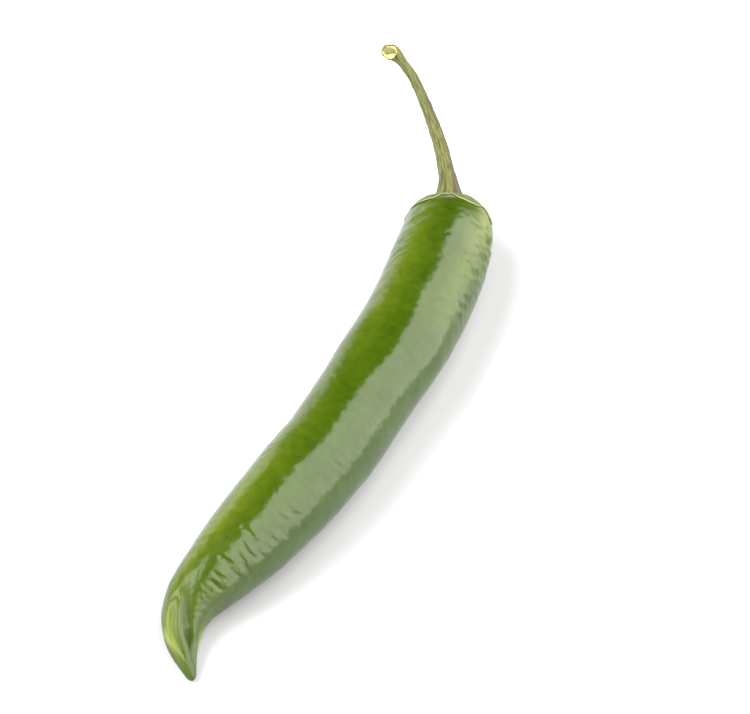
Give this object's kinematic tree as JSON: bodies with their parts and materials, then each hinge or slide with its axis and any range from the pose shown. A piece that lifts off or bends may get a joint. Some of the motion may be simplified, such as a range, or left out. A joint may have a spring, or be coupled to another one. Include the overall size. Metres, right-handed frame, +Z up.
{
  "type": "chilli pepper",
  "caption": "Whole fresh green chilli pepper with its stalk, lying on its side, long and slightly curved, with a pointed tip that hooks to one side.",
  "frame": {"origin": "on the surface that the pepper lies on, in the middle of its bounding box seen from above", "axes": "+X from the tip towards the stalk, along the pepper's length; +Y towards the side that the stalk bends to; +Z up from the surface"},
  "size_m": [0.1746, 0.0513, 0.0239],
  "materials": {
    "pod_skin": "smooth waxy green skin, glossy, with soft creases",
    "stalk_green": "dull olive green, finely ribbed, cream where it is torn"
  },
  "bodies": {
    "root": {"pod": "pod_skin", "stalk_and_calyx": "stalk_green"}
  },
  "joints": []
}
